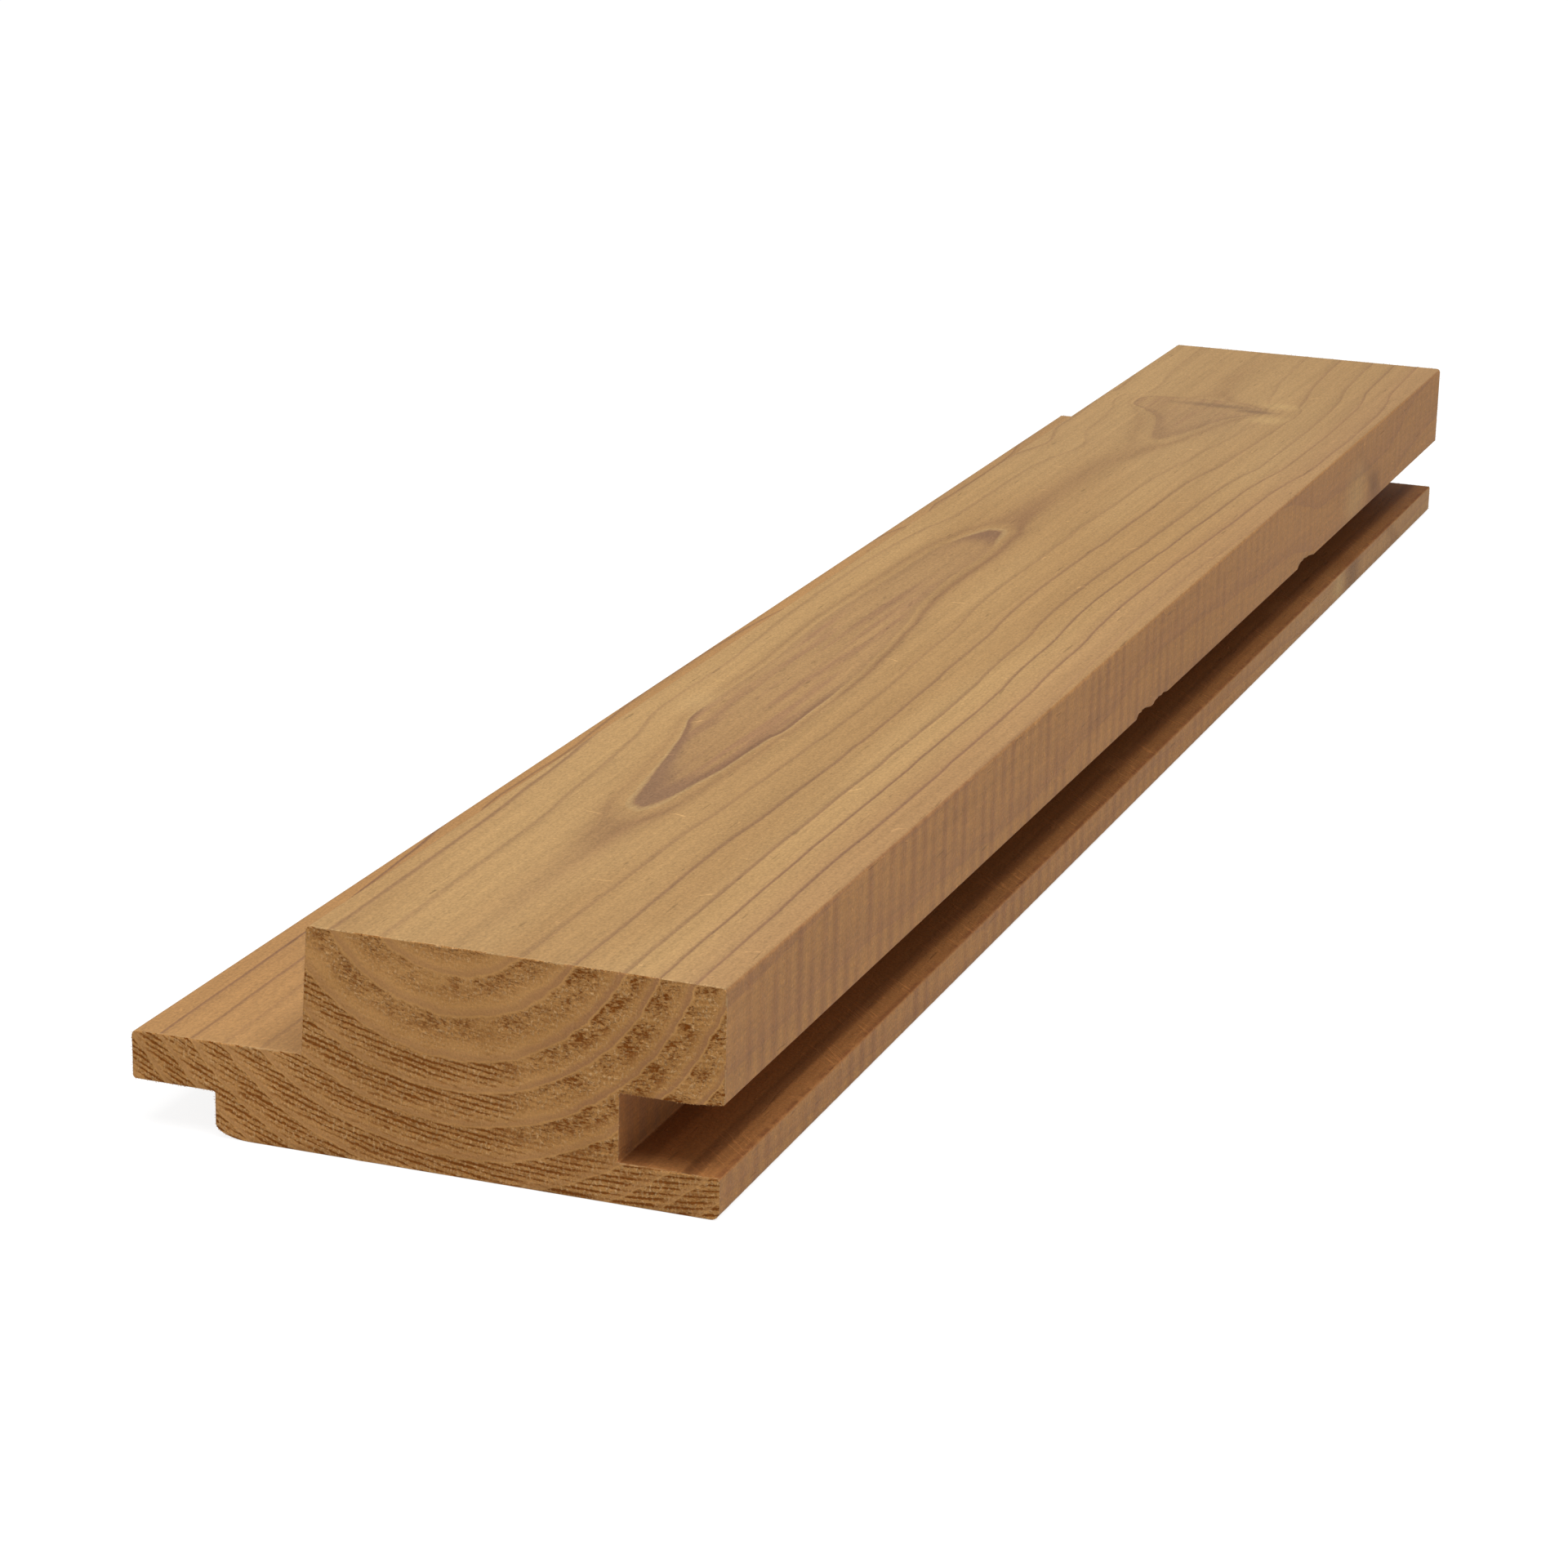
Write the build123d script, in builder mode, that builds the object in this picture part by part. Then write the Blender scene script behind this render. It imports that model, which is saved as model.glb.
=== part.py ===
from build123d import *
import os

# Heat-treated cladding board with a tongue on its left edge and a groove on its right edge.
# The board lies on its back with the show face up. X runs across it, Y along it.
# The origin is under the middle of the board, on the plane of its back. All sizes are in millimetres.

# Overall sizes
length = 350.0
thickness = 26.0
face_width = 48.2
shadow_gap = 10.8

# Tongue, with a top that falls towards its tip and a face wall that leans out towards its root
tongue_length = 10.1
tongue_thickness = 5.9
tongue_underside = 5.3
tongue_fall = 0.3
wall_lean = 0.7

# Room left around the tongue in the groove of the next board
under_clearance = 0.6
over_clearance = 1.4
tip_clearance = 1.4
lower_lip_setback = 0.4
mouth_flare_depth = 4.0
mouth_flare_rise = 0.4

# Roundings of the planed section
face_arris = 0.6
tongue_arris = 0.5
lip_arris = 0.3
lower_lip_arris = 1.0
root_round = 0.3
back_relief_width = 4.0
back_relief_height = 1.6

# Places across the board, from the groove edge to the tip of the tongue
rebate_width = shadow_gap + lower_lip_setback
groove_depth = tongue_length + tip_clearance + lower_lip_setback
overall_width = face_width + rebate_width + tongue_length
x_upper_lip = overall_width / 2
x_lower_lip = x_upper_lip - lower_lip_setback
x_mouth_flare = x_upper_lip - mouth_flare_depth
x_groove_bed = x_upper_lip - groove_depth
x_face_wall = x_upper_lip - face_width
x_tongue_root = x_face_wall - wall_lean
x_back_wall = x_face_wall - rebate_width
x_tongue_tip = x_back_wall - tongue_length

# Heights above the back
z_tongue_root = tongue_underside + tongue_thickness
z_tongue_tip = z_tongue_root - tongue_fall
z_groove_floor = tongue_underside - under_clearance
z_groove_roof = z_tongue_root + over_clearance
z_mouth = z_groove_roof + mouth_flare_rise

# The planed section: each corner in turn, with the rounding that the cutter leaves on it
corners = [
    ((x_back_wall, tongue_underside), root_round),
    ((x_tongue_tip, tongue_underside), tongue_arris),
    ((x_tongue_tip, z_tongue_tip), tongue_arris),
    ((x_tongue_root, z_tongue_root), root_round),
    ((x_face_wall, thickness), face_arris),
    ((x_upper_lip, thickness), face_arris),
    ((x_upper_lip, z_mouth), lip_arris),
    ((x_mouth_flare, z_groove_roof), 0),
    ((x_groove_bed, z_groove_roof), root_round),
    ((x_groove_bed, z_groove_floor), root_round),
    ((x_lower_lip, z_groove_floor), lip_arris),
    ((x_lower_lip, 0), lower_lip_arris),
]
relief_top = (x_back_wall, back_relief_height)
relief_foot = (x_back_wall + back_relief_width, 0)
relief_centre = (x_back_wall + back_relief_width, back_relief_height)

with BuildPart() as board:
    with BuildSketch(Plane.XZ) as section:
        with BuildLine() as outline:
            FilletPolyline(
                relief_top,
                *[point for point, radius in corners],
                relief_foot,
                radius=[radius for point, radius in corners],
            )
            # The long round-over under the tongue lets the next board tilt in
            EllipticalCenterArc(
                relief_centre, back_relief_width, back_relief_height, start_angle=180, arc_size=90
            )
        make_face()
    extrude(amount=length / 2, both=True)

board.part.label = "board"
os.makedirs("parts", exist_ok=True)
export_step(board.part, "parts/board.step")
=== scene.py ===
import math

import bmesh
import bpy
from mathutils import Matrix, Vector, geometry, noise


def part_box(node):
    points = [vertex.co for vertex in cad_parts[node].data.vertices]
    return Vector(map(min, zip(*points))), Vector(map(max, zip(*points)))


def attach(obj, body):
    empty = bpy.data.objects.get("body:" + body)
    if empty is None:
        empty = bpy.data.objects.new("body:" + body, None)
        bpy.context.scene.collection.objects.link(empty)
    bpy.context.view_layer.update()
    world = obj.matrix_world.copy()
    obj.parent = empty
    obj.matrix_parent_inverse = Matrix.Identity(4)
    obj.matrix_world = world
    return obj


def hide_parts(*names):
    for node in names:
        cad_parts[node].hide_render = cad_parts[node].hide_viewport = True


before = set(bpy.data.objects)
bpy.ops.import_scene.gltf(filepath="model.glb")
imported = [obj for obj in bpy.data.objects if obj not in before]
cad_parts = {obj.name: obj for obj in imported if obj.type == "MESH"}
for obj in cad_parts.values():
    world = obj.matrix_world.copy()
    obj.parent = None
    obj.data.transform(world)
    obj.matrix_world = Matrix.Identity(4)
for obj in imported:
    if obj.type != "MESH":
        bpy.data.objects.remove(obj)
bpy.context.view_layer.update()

# A planed board on its back: X towards the grooved edge, Y along the board, Z up out of the show face.
# Lengths are in millimetres unless a comment says metres. Blender and the CAD frame are in metres.
MM = 0.001
FACE_HEIGHT = 26.0
HALF_LENGTH = 175.0

# Marks that the machines leave
KNIFE_PITCH = 3.82
KNIFE_DEPTH = 0.02
SAW_PITCH = 0.68
SAW_RADIUS = 110.0
SAW_MIDDLE = 20.0
TEAR_DEPTH = 0.12

# Loose fibres along the sawn edges
FIBRE_SPACING = 0.35
FIBRE_LENGTH = 0.24
FIBRE_THICKNESS = 0.05

# Lower corner of the groove's upper lip, in metres
LIP_CORNER = Vector((0.03475, 0.013))
# Chips out of that corner: middle along the board, half length and depth
LIP_CHIPS = ((-15.0, 3.6, 0.7), (-6.5, 3.6, 0.45), (78.5, 5.2, 0.75))

# Fineness of the board's mesh: steps round its section, rows along it and points on its ends
OUTLINE_STEP = 2.2
OUTLINE_MARGIN = 0.14
OUTLINE_FINE = 0.3
ROWS_TO_A_MARK = 3
END_ROW = 0.12
END_SPACING = 0.6

# The pith runs above the show face and wanders. Each pair is a place along the board and the value there.
PITH_ACROSS = ((-175, 3.5), (-119, 2.9), (-110, 2.75), (-95, 2.1), (-80, 1.1), (-60, 1.1), (-50, 0.6),
               (-30, -0.7), (-10, -1.45), (8, -1.2), (20, -0.75), (32, 0.0), (60, 0.2), (75, 1.2),
               (98, 4.5), (126, 5.0), (150, 3.2), (175, 2.2))
PITH_ABOVE = ((-175, 9.6), (-140, 9.2), (-130, 9.1), (-125, 8.8), (-119, 8.3), (-115, 8.15), (-109, 7.87),
              (-103, 7.5), (-95, 7.0), (-88, 6.3), (-80, 5.3), (-60, 5.6), (-40, 5.95), (-30, 6.3),
              (-20, 7.0), (-5, 7.45), (8, 7.5), (20, 8.05), (26, 8.4), (38, 9.2), (110, 9.2), (175, 9.6))
# Over the middle of the board the outer rings on the right lie further out than the pith's own circles
OUTER_DRIFT = ((-175, 0.0), (-110, -0.2), (-80, 0.6), (-55, 0.5), (-40, 1.0), (-20, 1.8), (20, 1.85),
               (38, 2.15), (60, 2.6), (75, 2.45), (98, 0.65), (150, 0.4), (175, 0.5))
# By the knot near the far end the rings bulge round it, and those on the left are pushed outwards
KNOT_SWELL = ((-175, 0.0), (-60, 0.0), (40, 0.0), (70, 0.0), (84, 0.0), (98, 0.8), (112, 1.75), (120, 3.15),
              (126, 4.9), (131, 0.8), (140, 0.0), (150, 0.0), (175, 0.0))
KNOT_PUSH = 2.6
# Outer edge of each growth ring, from the pith
RING_EDGES = (3.6, 8.4, 12.7, 17.2, 22.2, 25.75, 29.65, 33.4, 36.8, 39.8, 42.8, 45.6, 48.4, 51.2)
# A false ring just outside the heart: its distance from the pith and its half width
FALSE_RING = 9.2
FALSE_RING_WIDTH = 0.3
# How dark the latewood of each ring is drawn on the planed faces, by ring number
RING_DEPTH = ((0, 0.5), (0.95, 0.95), (1.95, 0.4), (2.95, 0.7), (3.95, 0.65), (4.95, 0.9), (5.95, 1.0),
              (6.95, 0.4), (7.95, 0.3), (8.95, 0.7), (9.95, 0.9), (13, 0.8))

# Colours of the planed faces
GROUND_DEEP = (0.472, 0.269, 0.106, 1)
GROUND_PALE = (0.55, 0.33, 0.135, 1)
OUTER_WOOD = (0.50, 0.238, 0.08, 1)
FAR_WOOD = (0.5, 0.315, 0.148, 1)
FALSE_RING_BROWN = (0.28, 0.14, 0.066, 1)
EARLYWOOD = (0.60, 0.40, 0.18, 1)
LATEWOOD = (0.25, 0.122, 0.062, 1)
WALL_LATEWOOD = (0.33, 0.15, 0.078, 1)
HEART_PINK = (0.36, 0.185, 0.095, 1)
HEART_RIND = (0.28, 0.155, 0.09, 1)
EDGE_BLUSH = (0.47, 0.25, 0.12, 1)
KNOT_RING = (0.26, 0.12, 0.045, 1)
# Groove colours: redder wood darkened by painted shade, painted light towards the near end, dark floor bands
# and a dark rim
GROOVE_RED_AND_SHADE = (0.315, 0.12, 0.032, 1)
GROOVE_NEAR_END_LIGHT = (0.46, 0.195, 0.06, 1)
GROOVE_FLOOR_BANDS = (0.17, 0.058, 0.016, 1)
GROOVE_RIM = (0.24, 0.085, 0.028, 1)
BRUISED_FIBRE = (0.66, 0.43, 0.2, 1)
# Bands of the knife marks on the walls: partly burnish, partly painted shade
KNIFE_BURNISH_AND_SHADE = (0.3, 0.13, 0.058, 1)

# Stains on the planed faces: a colour, then the middle, reach and strength of each spot that has it
STAINS = (
    # Shade round the knot on the show face, and the knot itself
    ((0.38, 0.225, 0.112, 1), ((8.0, 117.0, 26.0), (15.0, 22.0, 9.0), 0.35)),
    ((0.28, 0.165, 0.085, 1), ((7.0, 127.0, 26.0), (12.0, 2.6, 8.0), 0.72),
     ((14.0, 125.0, 26.0), (5.5, 2.2, 8.0), 0.9)),
    # Pale wood before the knot on the right wall, the knot there and on the lower lip
    ((0.58, 0.36, 0.15, 1), ((34.75, 112.0, 16.5), (5.0, 13.0, 8.0), 0.5)),
    ((0.24, 0.11, 0.042, 1), ((34.75, 125.5, 15.5), (5.0, 7.0, 4.5), 0.75)),
    ((0.2, 0.1, 0.045, 1), ((33.0, 115.0, 3.0), (7.0, 9.0, 8.0), 0.7)),
    # Pale elbow in the left arm of the heart island
    ((0.6, 0.38, 0.165, 1), ((-7.0, -77.0, 26.0), (3.5, 9.0, 4.0), 0.5)),
    # Pale wood that curls round the knot
    ((0.62, 0.4, 0.17, 1), ((17.5, 119.5, 26.0), (5.0, 5.0, 5.0), 0.6),
     ((17.0, 131.0, 26.0), (5.0, 4.0, 5.0), 0.6), ((34.3, 105.5, 3.0), (4.0, 6.0, 5.0), 0.6)),
)

# Colours of the sawn ends and of the loose fibres on their edges
SAWN_DEEP = (0.61, 0.313, 0.102, 1)
SAWN_PALE = (0.71, 0.373, 0.13, 1)
SAWN_LATEWOOD = (0.36, 0.16, 0.08, 1)
SAWN_EARLYWOOD = (0.46, 0.205, 0.055, 1)
# Torn earlywood: dark tears that are partly painted shade inside them, and pale ribs that are partly painted
# highlight
TORN_PIT_AND_SHADE = (0.25, 0.071, 0.006, 1)
TORN_RIB_AND_HIGHLIGHT = (0.84, 0.51, 0.235, 1)
FIBRE_DEEP = (0.4, 0.2, 0.075, 1)
FIBRE_PALE = (0.68, 0.42, 0.18, 1)


class Wire:
    """One socket of a node tree. Sums on wires add Math nodes to that tree."""

    def __init__(self, tree, socket=None):
        self.tree = tree
        self.socket = socket

    def node(self, kind, settings=None, inputs=None, output=0):
        """Add a node: its settings first, then values or links for its sockets. Gives one output."""
        made = self.tree.nodes.new(kind)
        for name, value in (settings or {}).items():
            if name == "points":
                draw_curve(made.mapping, value)
            else:
                setattr(made, name, value)
        for key, value in (inputs or {}).items():
            if isinstance(value, Wire):
                self.tree.links.new(value.socket, made.inputs[key])
            else:
                made.inputs[key].default_value = value
        return Wire(self.tree, made.outputs[output] if made.outputs else None)

    def math(self, operation, *values):
        return self.node("ShaderNodeMath", {"operation": operation}, dict(enumerate(values)))

    def __add__(self, other):
        return self.math("ADD", self, other)

    def __radd__(self, other):
        return self.math("ADD", other, self)

    def __sub__(self, other):
        return self.math("SUBTRACT", self, other)

    def __rsub__(self, other):
        return self.math("SUBTRACT", other, self)

    def __mul__(self, other):
        return self.math("MULTIPLY", self, other)

    def __rmul__(self, other):
        return self.math("MULTIPLY", other, self)

    def __truediv__(self, other):
        return self.math("DIVIDE", self, other)

    def __pow__(self, other):
        return self.math("POWER", self, other)

    def __abs__(self):
        return self.math("ABSOLUTE", self)

    def fract(self):
        return self.math("FRACT", self)

    def most(self, other):
        """The larger of two values."""
        return self.math("MAXIMUM", self, other)

    def ramp(self, low, high):
        """0 at low and 1 at high, with a soft start and end. Low may be the larger."""
        settings = {"interpolation_type": "SMOOTHSTEP"}
        return self.node("ShaderNodeMapRange", settings, {0: self, 1: low, 2: high})

    def share(self, low, high):
        """0 at low and 1 at high, in a straight line."""
        return self.node("ShaderNodeMapRange", None, {0: self, 1: low, 2: high})

    def curve(self, points):
        """A smooth line through (place, value) pairs."""
        places = [place for place, value in points]
        values = [value for place, value in points]
        low = min(values)
        span = max(values) - low
        run = places[-1] - places[0]
        shares = [((place - places[0]) / run, (value - low) / span) for place, value in points]
        along = self.share(places[0], places[-1])
        drawn = self.node("ShaderNodeFloatCurve", {"points": shares}, {1: along})
        return drawn * span + low

    def mix(self, below, above):
        """The colour below where this wire is 0, the colour above where it is 1."""
        return self.node("ShaderNodeMix", {"data_type": "RGBA"}, {0: self, 6: below, 7: above}, 2)

    def scaled(self, factor):
        return self.node("ShaderNodeVectorMath", {"operation": "SCALE"}, {0: self, 3: factor})

    def split(self):
        parts = self.node("ShaderNodeSeparateXYZ", None, {0: self})
        return [Wire(self.tree, socket) for socket in parts.socket.node.outputs]

    def grain(self, size, detail=2.0, roughness=0.5):
        """Noise about 0.5 whose grains are size mm long across, along and up the board."""
        stretch = [1 / length for length in size]
        place = self.node("ShaderNodeVectorMath", {"operation": "MULTIPLY"}, {0: self, 1: stretch})
        inputs = {"Vector": place, "Scale": 1.0, "Detail": detail, "Roughness": roughness}
        return self.node("ShaderNodeTexNoise", None, inputs)

    def spot(self, centre, reach):
        """1 at a centre, falling softly to 0 at its reach across, along and up the board."""
        away = self.node("ShaderNodeVectorMath", {"operation": "SUBTRACT"}, {0: self, 1: centre})
        share = away.node("ShaderNodeVectorMath", {"operation": "DIVIDE"}, {0: away, 1: reach})
        distance = share.node("ShaderNodeVectorMath", {"operation": "LENGTH"}, {0: share}, "Value")
        return distance.ramp(1.0, 0.0)


def draw_curve(mapping, points):
    """Put a float curve through points between 0 and 1."""
    line = mapping.curves[0]
    line.points[0].location = points[0]
    line.points[1].location = points[-1]
    for point in points[1:-1]:
        line.points.new(*point)
    mapping.update()


def growth_rings(place):
    """Ring number with the share of that ring passed, distance from the pith, and distance to its right."""
    x, y, z = place.split()
    across = x - y.curve(PITH_ACROSS)
    depth = y.curve(PITH_ABOVE) + FACE_HEIGHT - z
    inner = (across * across + depth * depth) ** 0.5
    to_right = y.curve(OUTER_DRIFT) * across.ramp(-5.0, 5.0)
    to_left = y.ramp(85.0, 100.0) * across.ramp(1.0, -6.0) * KNOT_PUSH
    outer = across - (to_right - to_left) * inner.ramp(9.0, 14.0)
    reach = (outer * outer + depth * depth) ** 0.5
    reach = reach - y.curve(KNOT_SWELL) * reach.ramp(21.0, 12.0)
    slow = place.grain((9.0, 50.0, 9.0)) - 0.5
    quick = place.grain((1.6, 14.0, 1.6)) - 0.5
    reach = reach + slow * reach.ramp(8.0, 18.0) * 0.8 + quick * 0.3
    count = 0.0
    for within, beyond in zip(RING_EDGES, RING_EDGES[1:]):
        count = reach.share(within, beyond) + count
    return count, reach, across


def knife_scallop(along):
    """0 in the middle of each knife mark along the board and 1 on the ridges between them."""
    return abs((along / KNIFE_PITCH).fract() - 0.5) * 2.0


def saw_line(place):
    """How far across a saw stroke a place on the end lies. The strokes are arcs of the saw's rim."""
    x, _, z = place.split()
    aside = x - SAW_MIDDLE
    height = z - aside * aside / (2 * SAW_RADIUS)
    wander = place.grain((6.0, 6.0, 2.0)) - 0.5
    return (height + wander * 0.5) / SAW_PITCH


def blank_material(name):
    """A material with an empty node tree, and a wire to start from in that tree."""
    material = bpy.data.materials.new(name)
    material.use_nodes = True
    material.node_tree.nodes.clear()
    return material, Wire(material.node_tree)


def finish_material(start, colour, roughness, shine, height=None):
    """One Principled shader with colour, roughness and, where it is given, a relief in mm."""
    inputs = {"Base Color": colour, "Roughness": roughness, "Specular IOR Level": shine}
    if height is not None:
        relief = {"Strength": 1.0, "Distance": MM, "Height": height}
        inputs["Normal"] = start.node("ShaderNodeBump", None, relief)
    surface = start.node("ShaderNodeBsdfPrincipled", None, inputs)
    start.node("ShaderNodeOutputMaterial", None, {"Surface": surface})


def planed_softwood():
    """Faces cut by the planer knives: growth rings, resin streaks, fibres and knife marks. Painted shade goes
    into the knife marks and the groove, painted light brightens the groove's near end, and pale flecks carry
    painted highlight.
    """
    material, start = blank_material("planed_softwood")
    place = start.node("ShaderNodeTexCoord", None, None, "Object").scaled(1 / MM)
    facing_side, _, facing_up = start.node("ShaderNodeNewGeometry", None, None, "Normal").split()
    x, y, z = place.split()
    wall = abs(facing_side).ramp(0.6, 0.9)
    level = facing_up.ramp(0.7, 0.9)
    at_face = z.ramp(24.0, 25.5)
    far = y.ramp(20.0, 110.0)
    count, reach, across = growth_rings(place)
    phase = count.fract()

    # The heart shows on the face as a long island. Its arms are plain by its tips and weak between them.
    island = count.ramp(1.4, 1.2)
    left_arm = across.ramp(1.5, -1.5) * y.ramp(-82.0, -104.0)
    near_tip = y.ramp(-101.0, -116.0).most(left_arm)
    far_tip = y.ramp(16.0, 24.0) * y.ramp(60.0, 40.0)
    before_tip = y.ramp(-116.0, -124.0) * y.ramp(-142.0, -130.0)
    past_elbow = across.ramp(1.0, -2.0) * y.ramp(-84.0, -76.0)
    weak_arm = past_elbow.most(y.ramp(-72.0, -60.0)) * y.ramp(23.0, 15.0) * island
    by_knot = y.ramp(80.0, 96.0) * island

    # Latewood is a dark line at the outer edge of each ring, with a soft rise before it
    line = phase.ramp(0.86, 0.96) + phase.ramp(0.05, 0.0) * 0.7
    weight = 0.55 + y.ramp(-50.0, -90.0) * y.ramp(-168.0, -140.0) * 0.14 - far * 0.25
    late = (phase ** 5.0 * 0.25 + line * weight) * count.curve(RING_DEPTH) * (1.0 - wall)
    late = late * (1.0 - weak_arm * 0.7) * (1.0 - by_knot * 0.25) * (1.0 - near_tip * island * 0.25)

    # Ground colour, yellower near the pith, more orange further out and on the edges
    tone = place.grain((14.0, 110.0, 14.0)).ramp(0.3, 0.7)
    ground = tone.mix(GROUND_DEEP, GROUND_PALE)
    outer = (reach.ramp(33.0, 44.0) * 0.45).most((wall * 0.9).most(z.ramp(14.5, 12.5) * 0.5))
    ground = outer.mix(ground, OUTER_WOOD)
    ground = (far * (1.0 - wall * z.ramp(5.0, 8.0)) * 0.4).mix(ground, FAR_WOOD)
    apart = (reach - FALSE_RING) / FALSE_RING_WIDTH
    halo = (1.0 + apart * apart) ** -1.0 * (0.4 + y.ramp(-75.0, -62.0) * y.ramp(60.0, 34.0) * 0.3)
    halo = halo * (0.6 + across.ramp(-2.0, 2.0) * 0.4 + before_tip * 0.6)
    ground = halo.mix(ground, FALSE_RING_BROWN)
    early = phase.ramp(0.0, 0.015) * phase.ramp(0.06, 0.03) * count.ramp(1.5, 1.0)
    early = early * (1.0 - weak_arm) * (1.0 - by_knot)
    ground = (early * 0.45).mix(ground, EARLYWOOD)

    # Rings and heart over the ground
    wood = late.mix(ground, LATEWOOD)
    wood = (wall * phase ** 3.0 * 0.35).mix(wood, WALL_LATEWOOD)
    heart = reach.ramp(8.6, 7.6) * (1.0 - far * 0.25)
    pink = place.grain((1.6, 34.0, 1.6)).ramp(0.45, 0.68)
    wood = (heart * (0.2 + pink * 0.5)).mix(wood, HEART_PINK)
    blush = x.ramp(24.0, 33.0) * (1.0 - wall) * at_face
    wood = (blush * 0.3).mix(wood, EDGE_BLUSH)
    rind = reach.ramp(7.45, 8.2) * reach.ramp(8.5, 8.35) * (0.07 + near_tip * 0.4 + far_tip * 0.24)
    wood = rind.mix(wood, HEART_RIND)

    # Knot near the far end and other stains, then the groove with its painted shade and light
    beside_knot = abs(y - 110.0 - (FACE_HEIGHT - z) * 1.5)
    ring_on_wall = beside_knot.ramp(4.5, 1.0) * wall * x.ramp(33.0, 34.0) * z.ramp(28.0, 16.0)
    wood = (ring_on_wall * 0.35).mix(wood, KNOT_RING)
    wood = stained(wood, place)
    wood, score = groove_wood(wood, place, level)

    # Fibres bruised pale along the sawn edges
    at_end = abs(y).ramp(HALF_LENGTH - 0.45, HALF_LENGTH - 0.15)
    bruise = at_end * place.grain((0.7, 0.7, 0.7)).ramp(0.35, 0.6)
    wood = (bruise * 0.5).mix(wood, BRUISED_FIBRE)

    # Fibres, resin dashes, pale flecks that are partly painted highlight, and nicks, with short dark ticks in
    # the heart
    fibre = place.grain((0.22, 4.0, 0.22), 3.0, 0.6) - 0.5
    sand = place.grain((0.32, 0.5, 0.32), 2.0, 0.65) - 0.5
    streak = place.grain((0.8, 40.0, 0.8)) - 0.5
    dash = place.grain((0.45, 6.0, 0.45), 0.0).ramp(0.79, 0.86)
    pale_fleck_highlight = place.grain((0.9, 1.5, 0.9), 1.0).ramp(0.7, 0.78)
    tick = place.grain((0.8, 3.2, 0.8), 1.0).ramp(0.64, 0.74) * heart
    nick = planer_nick(place) * level * at_face
    light = 1.0 + fibre * 0.25 + sand * 0.75 + streak * 0.32
    light = light - dash * 0.22 + pale_fleck_highlight * 0.2 + score * 0.45 + nick * 0.4 - tick * 0.16

    # Knife marks, plainest on the edges that the side cutters made: darker bands that are partly burnish and
    # partly painted shade of the knife scallops
    scallop = knife_scallop(y)
    uneven = place.grain((20.0, 5.0, 9.0)).ramp(0.3, 0.7)
    knife_burnish_and_shade = wall * facing_side.ramp(-2.5, 0.8) * scallop.ramp(0.05, 0.95)
    knife_burnish_and_shade = knife_burnish_and_shade * (0.2 + uneven * 0.8) * (0.3 + y.ramp(90.0, -60.0) * 0.7)
    wood = (knife_burnish_and_shade * 0.58).mix(wood, KNIFE_BURNISH_AND_SHADE)
    scratch = place.grain((3.0, 0.3, 6.0)) - 0.5
    light = light * (1.0 + wall * scratch * 0.25)

    colour = wood.scaled(light)
    roughness = 0.68 - late * 0.1 + sand * 0.2
    height = fibre * 0.05 + sand * 0.1 - dash * 0.04 + pale_fleck_highlight * 0.06
    height = height + scallop * scallop * wall * 0.02 + score * 0.05
    finish_material(start, colour, roughness, shine=0.2, height=height)
    return material


def stained(wood, place):
    """The wood with each of its stains laid over it."""
    for colour, *spots in STAINS:
        stain = 0.0
        for middle, spread, strength in spots:
            stain = (place.spot(middle, spread) * strength).most(stain)
        wood = stain.mix(wood, colour)
    return wood


def groove_wood(wood, place, level):
    """The wood with a redder groove darkened by painted shade and lit by painted light towards the near end,
    dark bands on its floor, and the scores that the grooving cutter left aslant on its floor.
    """
    x, y, z = place.split()
    groove = x.ramp(22.0, 22.6) * x.ramp(34.5, 34.2) * z.ramp(4.4, 4.65) * z.ramp(13.0, 12.7)
    # Painted shade: the whole groove drawn darker and redder, as shade inside the recess
    wood = (groove * 0.85).mix(wood, GROOVE_RED_AND_SHADE)
    # Painted light: the groove drawn paler towards the near end, where light reaches into it
    wood = (groove * y.ramp(-70.0, -150.0) * 0.8).mix(wood, GROOVE_NEAR_END_LIGHT)
    floor = groove * level
    # Dark bands along the groove floor: a latewood band at 30.8 mm, and a darker band along the floor by the
    # groove's back corner
    ring = abs(x - 30.8).ramp(1.3, 0.5).most(x.ramp(26.4, 25.2) * 0.7)
    wood = (floor * ring * 0.7).mix(wood, GROOVE_FLOOR_BANDS)
    rim = x.ramp(33.3, 34.0) * place.grain((3.0, 2.5, 3.0)).ramp(0.3, 0.6) * floor
    wood = (rim * 0.7).mix(wood, GROOVE_RIM)
    slant = place.node("ShaderNodeCombineXYZ", None, {0: x, 1: y + x, 2: z})
    bunch = place.grain((30.0, 12.0, 9.0), 1.0).ramp(0.42, 0.62) * x.ramp(27.0, 31.0)
    score = slant.grain((2.5, 0.45, 9.0)).ramp(0.52, 0.7) * bunch
    return wood, floor * score


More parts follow.
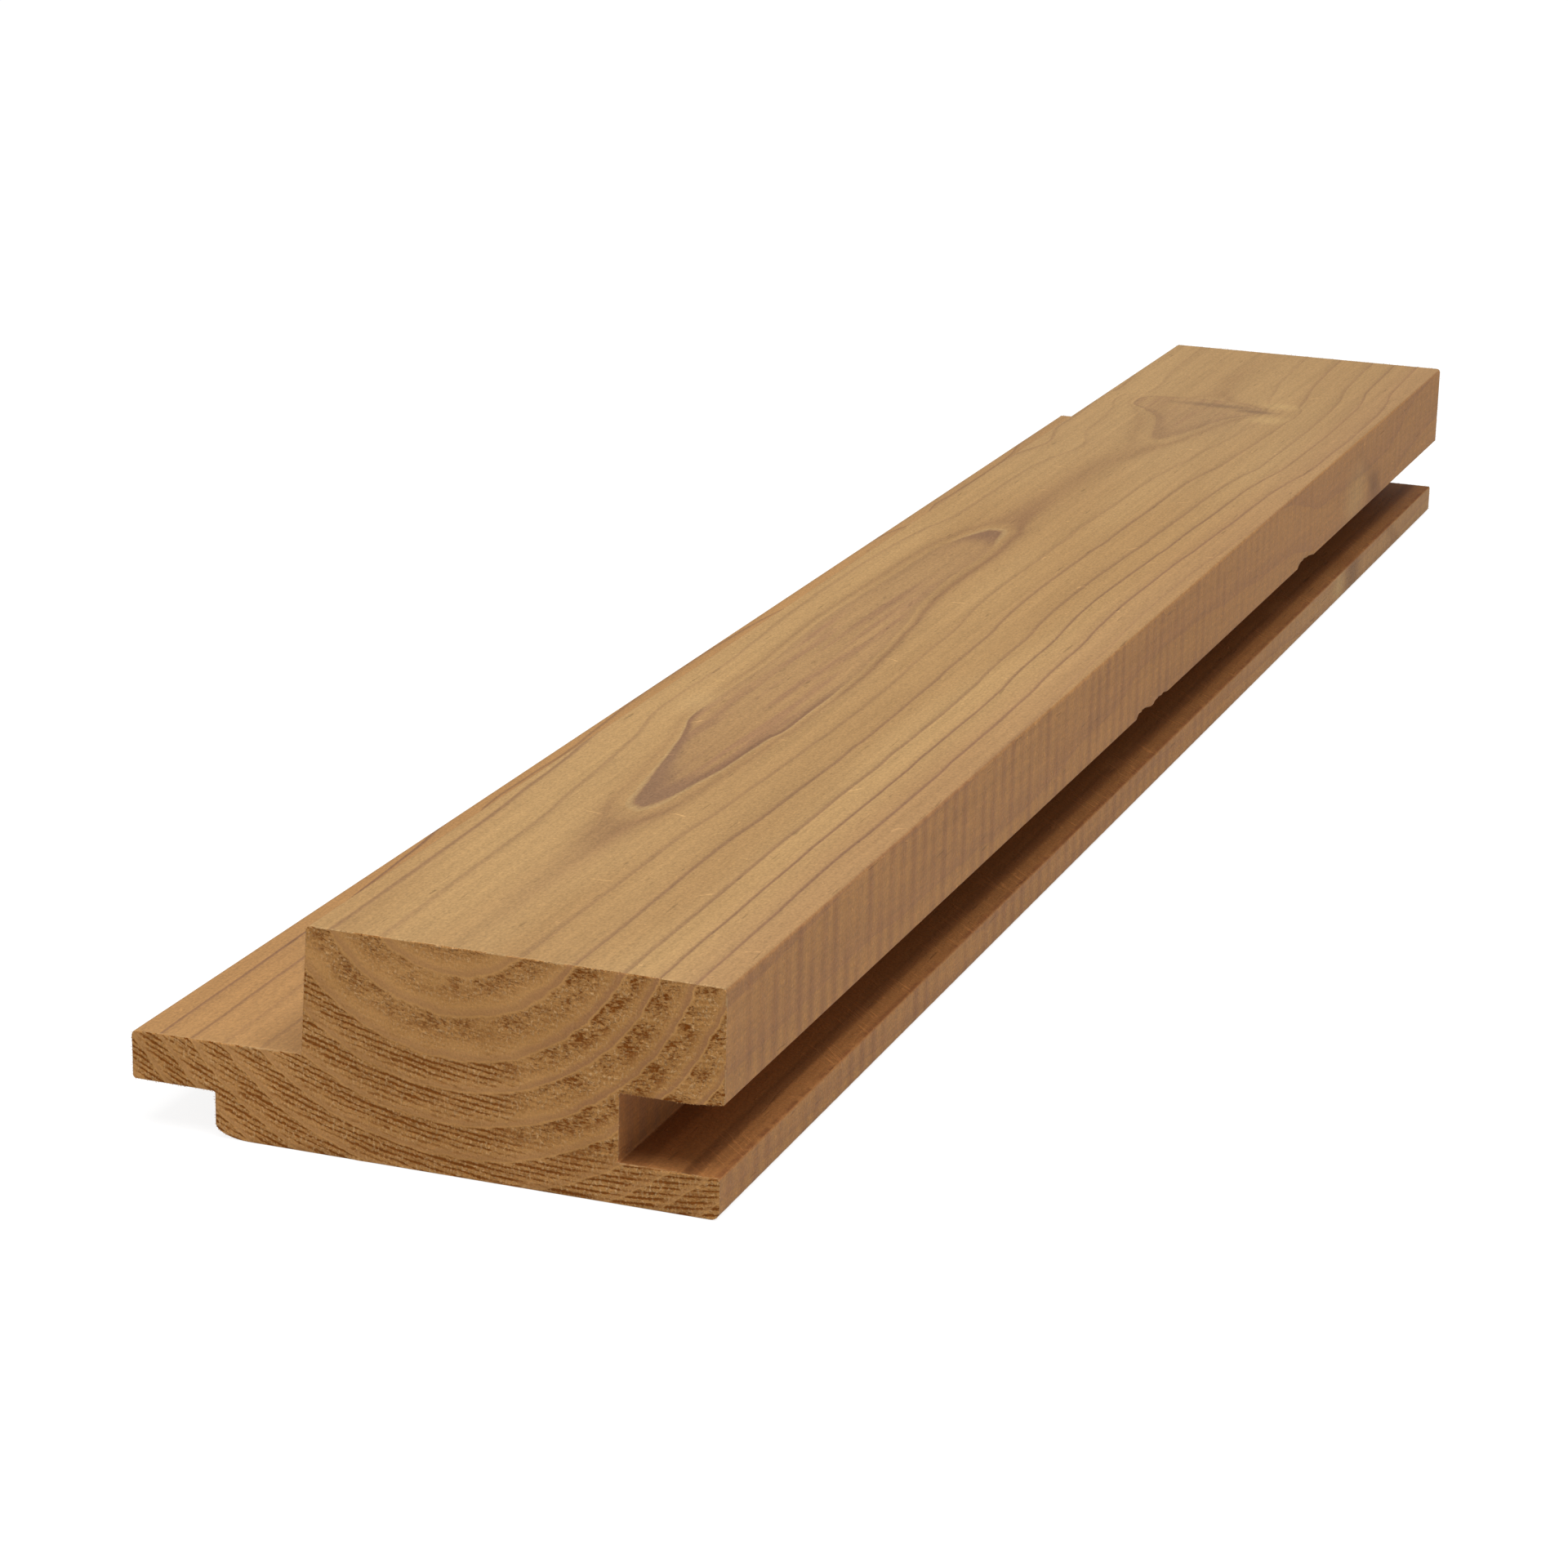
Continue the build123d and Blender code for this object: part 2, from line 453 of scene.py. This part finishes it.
def planer_nick(place):
    """Short pale nicks across the grain, one to a cell at most, where loose chips were pressed in."""
    cell_width = 13.0
    cell_length = 22.0
    x, y, _ = place.split()
    flat = x.node("ShaderNodeCombineXYZ", None, {0: x / cell_width, 1: y / cell_length, 2: 0.0})
    inputs = {"Vector": flat, "Scale": 1.0}
    cell = flat.node("ShaderNodeTexVoronoi", {"voronoi_dimensions": "2D"}, inputs).socket.node
    middle = Wire(flat.tree, cell.outputs["Position"]).split()
    chance = Wire(flat.tree, cell.outputs["Color"]).split()
    aside = x - middle[0] * cell_width
    along = y - middle[1] * cell_length
    angle = chance[2] * 1.6 - 0.4
    cosine = angle.math("COSINE", angle)
    sine = angle.math("SINE", angle)
    run = aside * cosine + along * sine
    bend = (chance[1] - 0.3) * 0.9
    off = along * cosine - aside * sine + run * run * bend
    width = place.grain((1.0, 1.0, 1.0), 1.0).ramp(0.3, 0.7) * 0.26 + 0.06
    return (abs(off) / width).ramp(1.0, 0.3) * abs(run).ramp(1.5, 0.5) * chance[0].ramp(0.45, 0.6)


def sawn_end_grain():
    """Cross-cut ends: rings end on, with earlywood torn along the saw strokes and smooth latewood. The tears
    are darkened partly with painted shade, and the ribs between them lightened partly with painted highlight.
    """
    material, start = blank_material("sawn_end_grain")
    place = start.node("ShaderNodeTexCoord", None, None, "Object").scaled(1 / MM)
    x, _, z = place.split()
    count, reach, _ = growth_rings(place)
    phase, soft, dark, rib_and_highlight = torn_wood(place, count, reach)
    tone = place.grain((7.0, 7.0, 7.0)).ramp(0.3, 0.7)
    ground = tone.mix(SAWN_DEEP, SAWN_PALE)
    red_ring = 0.24 + x.ramp(8.0, 20.0) * z.ramp(6.0, 12.0) * 0.3
    late = phase ** 3.0 * 0.12 + phase.ramp(0.74, 0.9) * phase.ramp(1.0, 0.96) * red_ring
    wood = (late * (1.0 - soft * 0.7)).mix(ground, SAWN_LATEWOOD)
    wood = (soft * 0.35).mix(wood, SAWN_EARLYWOOD)
    # The tears darkened, partly as painted shade inside them
    wood = dark.mix(wood, TORN_PIT_AND_SHADE)
    # Pale ribs between the tears, partly painted highlight
    wood = (rib_and_highlight * 0.75).mix(wood, TORN_RIB_AND_HIGHLIGHT)
    speck = place.grain((0.26, 0.26, 0.3), 2.0, 0.7) - 0.5
    light = 1.0 + speck * (0.5 + soft * 0.7) + x.ramp(-8.0, -22.0) * 0.08
    colour = wood.scaled(light)
    roughness = 0.8 + speck * 0.2
    height = speck * 0.1 - dark * 0.06 + rib_and_highlight * 0.05
    finish_material(start, colour, roughness, shine=0.12, height=height)
    return material


def torn_wood(place, count, reach):
    """The sawn ends: share of each ring passed, torn earlywood, depth of the tears (also their painted
    shade), and ribs in it (partly painted highlight).
    """
    x, y, z = place.split()
    stroke = saw_line(place)
    combed = x.node("ShaderNodeCombineXYZ", None, {0: x, 1: y, 2: stroke * SAW_PITCH})
    crumb = combed.grain((0.75, 1.0, 0.28), 4.0, 0.65) - 0.5
    blotch = place.grain((2.4, 3.0, 1.5)) - 0.5
    phase = (count + crumb * 0.06 + blotch * 0.16).fract()
    left = (x + crumb * 8.0).ramp(13.0, 8.0) * reach.ramp(20.0, 23.0)
    lower = left.most(z.ramp(6.5, 4.0))
    right = x.ramp(10.0, 22.0)
    patch = (place.grain((5.0, 5.0, 3.0)) + lower * 0.1 + right * 0.14).ramp(0.3, 0.5)
    within = phase + crumb * 0.5 + blotch * 0.4 - lower * 0.15 - right * 0.12
    soft = phase.ramp(0.0, 0.08) * within.ramp(0.92, 0.35) * (0.45 + patch * 0.55)
    gap = abs(stroke.fract() - 0.5) * 2.0
    broken = place.grain((7.0, 9.0, 0.6), 3.0, 0.6) - 0.5
    tooth = place.grain((0.3, 0.5, 0.45), 1.0) - 0.5
    line = (gap + broken * 1.2 + crumb * 1.4 + tooth * 0.7).ramp(0.6, 0.16) * (0.3 + lower * 0.65)
    pit = (crumb + blotch * (0.3 + right * 0.3) + tooth * 0.25).ramp(-0.06, 0.15)
    dark = line.most(pit * (0.9 - lower * 0.4 + right * 0.1)) * soft
    rib_and_highlight = tooth.ramp(0.02, 0.16) * soft * (1.0 - dark)
    return phase, soft, dark, rib_and_highlight


def cad_section(node):
    """Corner points (across, up) of the CAD board's near end, in order round it, in metres."""
    solid = bmesh.new()
    solid.from_mesh(node.data)
    same_point = 1e-7
    same_plane = 1e-6
    bmesh.ops.remove_doubles(solid, verts=solid.verts, dist=same_point)
    solid.normal_update()
    near = min(vert.co.y for vert in solid.verts)
    rim = {}
    for edge in solid.edges:
        if any(abs(vert.co.y - near) > same_plane for vert in edge.verts):
            continue
        facing = sorted(face.normal.y for face in edge.link_faces)
        if len(facing) == 2 and facing[0] < -0.9 and facing[1] > -0.9:
            first, second = edge.verts
            rim.setdefault(first, []).append(second)
            rim.setdefault(second, []).append(first)
    start = min(rim, key=lambda vert: (vert.co.z, vert.co.x))
    walk = [start]
    step = max(rim[start], key=lambda vert: vert.co.x)
    while step is not start:
        walk.append(step)
        step = [vert for vert in rim[step] if vert is not walk[-2]][0]
    points = [Vector((vert.co.x, vert.co.z)) for vert in walk]
    solid.free()
    return points


def divided(points, step, margin, fine):
    """The same outline with its straight runs divided, more finely near the groove lip."""
    outline = []
    for first, second in zip(points, points[1:] + points[:1]):
        outline.append(first.copy())
        run = (second - first).length
        if run < 4 * margin:
            continue
        direction = (second - first) / run
        along = margin
        while along < run - margin * 1.5:
            point = first + direction * along
            outline.append(point)
            widening = 0.45 * (point - LIP_CORNER).length
            along += min(step, max(fine, widening))
        outline.append(second - direction * margin)
    return outline


def lip_chip(across, along, up):
    """How far a point of the groove's upper lip is broken away, in metres."""
    lift = 0.0
    near = (Vector((across, up)) - LIP_CORNER).length
    for middle, half, depth in LIP_CHIPS:
        away = abs(along / MM - middle) / half
        if away < 1.0:
            rough = 0.75 + 0.5 * noise.noise(Vector((along / MM * 1.3, middle, 0.0)))
            deep = depth * MM * rough * math.sqrt(1.0 - away)
            spread = 2.2 * depth * MM
            lift = max(lift, deep * max(0.0, 1.0 - near / spread))
    return lift


def ragged(outline, along):
    """Outline of a sawn end, worn back unevenly by up to two tenths of a millimetre."""
    worn = []
    for index, point in enumerate(outline):
        tangent = outline[(index + 1) % len(outline)] - outline[index - 1]
        inward = Vector((-tangent.y, tangent.x)).normalized()
        fray = noise.noise(Vector((point.x / MM * 1.7, along, point.y / MM * 1.7)))
        worn.append(point + inward * MM * (0.09 + 0.1 * fray))
    return worn


def inside(point, outline):
    """True for a point within a closed outline."""
    odd = False
    for first, second in zip(outline, outline[1:] + outline[:1]):
        if (first.y > point.y) != (second.y > point.y):
            if point.x < first.x + (point.y - first.y) * (second.x - first.x) / (second.y - first.y):
                odd = not odd
    return odd


def clear_of(point, outline, gap):
    """True for a point further than a gap from every run of an outline."""
    for first, second in zip(outline, outline[1:] + outline[:1]):
        share = geometry.intersect_point_line(point, first, second)[1]
        nearest = first.lerp(second, min(max(share, 0.0), 1.0))
        if (nearest - point).length <= gap:
            return False
    return True


def cap_points(corners, spacing):
    """Staggered points that fill the section, clear of its outline."""
    points = []
    low_x = min(corner.x for corner in corners)
    high_x = max(corner.x for corner in corners)
    high_z = max(corner.y for corner in corners)
    rise = spacing * 0.866
    for row in range(int(high_z / rise) + 1):
        for column in range(int((high_x - low_x) / spacing) + 1):
            shift = 0.5 * (row % 2)
            point = Vector((low_x + (column + 0.25 + shift) * spacing, (row + 0.5) * rise))
            if inside(point, corners) and clear_of(point, corners, 0.45 * spacing):
                points.append(point)
    return points


def row_places(low, high):
    """Rows along the board, in metres: a few to a knife mark, more along a chip, a narrow one at each end."""
    step = KNIFE_PITCH / ROWS_TO_A_MARK
    edge = END_ROW * MM
    first = math.ceil((low / MM + 0.5) / step)
    last = math.floor((high / MM - 0.5) / step)
    places = [low, low + edge]
    for index in range(first, last + 1):
        chipped = any(abs(index * step - middle) < half + step for middle, half, _ in LIP_CHIPS)
        parts = 3 if chipped else 1
        places += [(index + part / parts) * step * MM for part in range(parts)]
    return places + [high - edge, high]


def board_mesh(node):
    """The CAD section swept along the board in fine rows, with filled ends and a chipped groove lip."""
    low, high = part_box("board")
    corners = cad_section(node)
    outline = divided(corners, OUTLINE_STEP * MM, OUTLINE_MARGIN * MM, OUTLINE_FINE * MM)
    count = len(outline)
    ring = [(index, (index + 1) % count) for index in range(count)]
    swept = bmesh.new()
    grid = []
    for y in row_places(low.y, high.y):
        section = outline if low.y < y < high.y else ragged(outline, y)
        row = []
        for point in section:
            lift = lip_chip(point.x, y, point.y)
            row.append(swept.verts.new((point.x - 0.5 * lift, y, point.y + lift)))
        grid.append(row)
    for back, front in zip(grid, grid[1:]):
        for index, after in ring:
            swept.faces.new((back[index], back[after], front[after], front[index]))

    # Both ends have the same pattern of triangles, laid once
    filling = cap_points(corners, END_SPACING * MM)
    laid = geometry.delaunay_2d_cdt(outline + filling, ring, [], 1, 1e-9)
    for row, y, turn in ((grid[0], low.y, 1), (grid[-1], high.y, -1)):
        spots = []
        for point, sources in zip(laid[0], laid[3]):
            if sources and sources[0] < count:
                spots.append(row[sources[0]])
            else:
                spots.append(swept.verts.new((point.x, y, point.y)))
        for face in laid[2]:
            swept.faces.new([spots[index] for index in face][::turn])
    bmesh.ops.recalc_face_normals(swept, faces=swept.faces)
    mesh = bpy.data.meshes.new("board_planed")
    swept.to_mesh(mesh)
    swept.free()
    return mesh


def geometry_tree(name, inputs):
    """A geometry tree with a mesh input, further named inputs and one output, and a wire from each input."""
    tree = bpy.data.node_groups.new(name, "GeometryNodeTree")
    tree.interface.new_socket("Geometry", in_out="INPUT", socket_type="NodeSocketGeometry")
    for label, kind in inputs.items():
        tree.interface.new_socket(label, in_out="INPUT", socket_type=kind)
    tree.interface.new_socket("Geometry", in_out="OUTPUT", socket_type="NodeSocketGeometry")
    given = Wire(tree).node("NodeGroupInput").socket.node
    return tree, [Wire(tree, socket) for socket in given.outputs[:len(inputs) + 1]]


def relief_tree():
    """Geometry nodes that cut knife marks into the planed faces and saw strokes into the ends."""
    inputs = {
        "Knife depth": "NodeSocketFloat",
        "Tear depth": "NodeSocketFloat",
        "Planed": "NodeSocketMaterial",
        "Sawn": "NodeSocketMaterial",
    }
    tree, (board, knife, tear, planed, sawn) = geometry_tree("machine_marks", inputs)
    start = Wire(tree)
    place = start.node("GeometryNodeInputPosition").scaled(1 / MM)
    normal = start.node("GeometryNodeInputNormal")
    facing_side, facing_end, _ = normal.split()
    end = abs(facing_end).ramp(0.75, 0.95)
    wall = abs(facing_side).ramp(0.6, 0.9)
    scallop = knife_scallop(place.split()[1])
    count, reach, _ = growth_rings(place)
    _, soft, dark, _ = torn_wood(place, count, reach)
    cut = knife * (0.25 + wall * 0.75) * (scallop * scallop - 1.0) * (1.0 - end)
    cut = cut - tear * end * (0.2 * soft + 0.8 * dark)
    moved = normal.scaled(cut * MM)
    board = start.node("GeometryNodeSetPosition", None, {"Geometry": board, "Offset": moved})
    board = start.node("GeometryNodeRealizeInstances", None, {"Geometry": board})
    board = start.node("GeometryNodeSetMaterial", None, {"Geometry": board, "Material": planed})
    at_end = start.node("FunctionNodeCompare", {"operation": "GREATER_THAN"}, {0: abs(facing_end), 1: 0.7})
    sawn_faces = {"Geometry": board, "Selection": at_end, "Material": sawn}
    board = start.node("GeometryNodeSetMaterial", None, sawn_faces)
    start.node("NodeGroupOutput", None, {0: board})
    return tree


def run_nodes(piece, tree, values):
    """Replace a piece's mesh by what a geometry tree makes of it."""
    modifier = piece.modifiers.new("marks", "NODES")
    modifier.node_group = tree
    for item in tree.interface.items_tree:
        if item.in_out == "INPUT" and item.name in values:
            modifier[item.identifier] = values[item.name]
    graph = bpy.context.evaluated_depsgraph_get()
    shaped = piece.evaluated_get(graph)
    made = bpy.data.meshes.new_from_object(shaped, preserve_all_data_layers=True, depsgraph=graph)
    piece.modifiers.remove(modifier)
    piece.data = made


def put_in_scene(name, data):
    """A new object at the origin with the given mesh, lamp or camera."""
    made = bpy.data.objects.new(name, data)
    bpy.context.scene.collection.objects.link(made)
    return made


def make_board():
    """The board with its machine marks, in place of the CAD solid."""
    planed = planed_softwood()
    sawn = sawn_end_grain()
    piece = put_in_scene("board_planed", board_mesh(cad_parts["board"]))
    values = {"Knife depth": KNIFE_DEPTH, "Tear depth": TEAR_DEPTH, "Planed": planed, "Sawn": sawn}
    run_nodes(piece, relief_tree(), values)
    piece.data.shade_smooth()
    piece.data.set_sharp_from_angle(angle=math.radians(35))
    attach(piece, "root")
    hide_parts("board")


def loose_fibre():
    """Pale fibres that the saw left standing on the edges."""
    material, start = blank_material("loose_fibre")
    place = start.node("ShaderNodeTexCoord", None, None, "Object").scaled(1 / MM)
    tone = place.grain((0.8, 0.8, 0.8), 1.0).ramp(0.3, 0.7)
    finish_material(start, tone.mix(FIBRE_DEEP, FIBRE_PALE), roughness=0.8, shine=0.1)
    return material


def fibre_tree():
    """Geometry nodes that stand short fibres along given edges, turned and scaled from fixed seeds."""
    inputs = {
        "Spacing": "NodeSocketFloat",
        "Length": "NodeSocketFloat",
        "Thickness": "NodeSocketFloat",
        "Fibre": "NodeSocketMaterial",
    }
    tree, (edges, spacing, length, thickness, fibre) = geometry_tree("edge_fibres", inputs)
    start = Wire(tree)
    curve = start.node("GeometryNodeMeshToCurve", None, {"Mesh": edges})
    curve = start.node("GeometryNodeResampleCurve", {"mode": "LENGTH"}, {"Curve": curve, "Length": spacing})
    size = {"Vertices": 4, "Radius Top": thickness * 0.3, "Radius Bottom": thickness, "Depth": length}
    sliver = start.node("GeometryNodeMeshCone", None, size)
    turns = {0: (-1.9, -1.9, -3.1), 1: (1.9, 1.9, 3.1), "Seed": 5}
    turn = start.node("FunctionNodeRandomValue", {"data_type": "FLOAT_VECTOR"}, turns)
    sizes = {2: 0.25, 3: 1.0, "Seed": 9}
    grow = start.node("FunctionNodeRandomValue", {"data_type": "FLOAT"}, sizes, 1)
    stood = {"Points": curve, "Instance": sliver, "Rotation": turn, "Scale": grow}
    made = start.node("GeometryNodeInstanceOnPoints", None, stood)
    made = start.node("GeometryNodeRealizeInstances", None, {"Geometry": made})
    made = start.node("GeometryNodeSetMaterial", None, {"Geometry": made, "Material": fibre})
    start.node("NodeGroupOutput", None, {0: made})
    return tree


def make_fibres():
    """Short loose fibres along the edges of the sawn ends, clear of the floor."""
    low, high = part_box("board")
    corners = cad_section(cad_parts["board"])
    floor_gap = 0.4 * MM
    points = []
    edges = []
    for y in (low.y, high.y):
        first = len(points)
        points += [(corner.x, y, corner.y) for corner in corners]
        for index, corner in enumerate(corners):
            after = (index + 1) % len(corners)
            if max(corner.y, corners[after].y) > floor_gap:
                edges.append((first + index, first + after))
    mesh = bpy.data.meshes.new("edge_fibres")
    mesh.from_pydata(points, edges, [])
    piece = put_in_scene("edge_fibres", mesh)
    values = {
        "Spacing": FIBRE_SPACING * MM,
        "Length": FIBRE_LENGTH * MM,
        "Thickness": FIBRE_THICKNESS * MM,
        "Fibre": loose_fibre(),
    }
    run_nodes(piece, fibre_tree(), values)
    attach(piece, "root")


def make_floor():
    """A pale floor, 12 metres wide. The camera and reflections see it near white, with the board's shadow."""
    half = 6.0
    below = -0.05 * MM
    mesh = bpy.data.meshes.new("studio_floor")
    corners = [(-half, -half, below), (half, -half, below), (half, half, below), (-half, half, below)]
    mesh.from_pydata(corners, [], [(0, 1, 2, 3)])
    floor = put_in_scene("studio_floor", mesh)
    material, start = blank_material("pale_floor")
    matt = start.node("ShaderNodeBsdfDiffuse", None, {"Color": (0.6, 0.6, 0.6, 1)})
    faint = start.node("ShaderNodeBsdfDiffuse", None, {"Color": (0.25, 0.25, 0.25, 1)})
    glow = start.node("ShaderNodeEmission", None, {"Color": (1, 1, 1, 1), "Strength": 0.88})
    seen = start.node("ShaderNodeAddShader", None, {0: faint, 1: glow})
    path = start.node("ShaderNodeLightPath").socket.node
    kinds = ("Is Camera Ray", "Is Glossy Ray", "Is Transmission Ray")
    camera, glossy, through = [Wire(start.tree, path.outputs[kind]) for kind in kinds]
    ray = camera.most(glossy.most(through))
    shown = start.node("ShaderNodeMixShader", None, {0: ray, 1: matt, 2: seen})
    start.node("ShaderNodeOutputMaterial", None, {"Surface": shown})
    mesh.materials.append(material)


def add_lamp(name, place, size, energy):
    """A square lamp that faces the board. Its place and size are in metres, its energy in watts."""
    lamp = bpy.data.lights.new(name, "AREA")
    lamp.shape = "SQUARE"
    lamp.size = size
    lamp.energy = energy
    holder = put_in_scene(name, lamp)
    holder.location = place
    board_middle = Vector((0.0, 0.0, 0.02))
    towards_board = board_middle - holder.location
    holder.rotation_euler = towards_board.to_track_quat("-Z", "Y").to_euler()


def make_light():
    """A wide softbox overhead, a smaller lamp to the right, and an even fill that looks white."""
    add_lamp("overhead_softbox", place=(0.05, -0.38, 1.4), size=1.0, energy=11.2)
    add_lamp("right_lamp", place=(0.75, -0.3, 1.45), size=0.25, energy=5.5)
    world = bpy.data.worlds.new("studio_fill")
    world.use_nodes = True
    world.node_tree.nodes.clear()
    start = Wire(world.node_tree)
    ray = start.node("ShaderNodeLightPath", None, None, "Is Camera Ray")
    fill = start.node("ShaderNodeBackground", None, {"Color": (1, 1, 1, 1), "Strength": 0.36})
    white = start.node("ShaderNodeBackground", None, {"Color": (1, 1, 1, 1), "Strength": 1.0})
    shown = start.node("ShaderNodeMixShader", None, {0: ray, 1: fill, 2: white})
    start.node("ShaderNodeOutputWorld", None, {"Surface": shown})
    bpy.context.scene.world = world


def make_camera():
    """The photograph's camera, low at the sawn end. Its place is in metres and its lens in millimetres."""
    lens = bpy.data.cameras.new("camera")
    lens.sensor_width = 36.0
    lens.lens = 97.795
    lens.clip_start = 0.02
    camera = put_in_scene("camera", lens)
    right = Vector((0.93716, 0.34813, 0.02314))
    down = Vector((0.12377, -0.26971, -0.95495))
    forward = Vector((-0.3262, 0.89781, -0.29585))
    turn = Matrix((right, -down, -forward)).transposed()
    eye = Vector((0.18064, -0.56087, 0.17596))
    camera.matrix_world = Matrix.Translation(eye) @ turn.to_4x4()
    bpy.context.scene.camera = camera


make_board()
make_fibres()
make_floor()
make_light()
make_camera()
bpy.context.scene.view_settings.view_transform = "Standard"
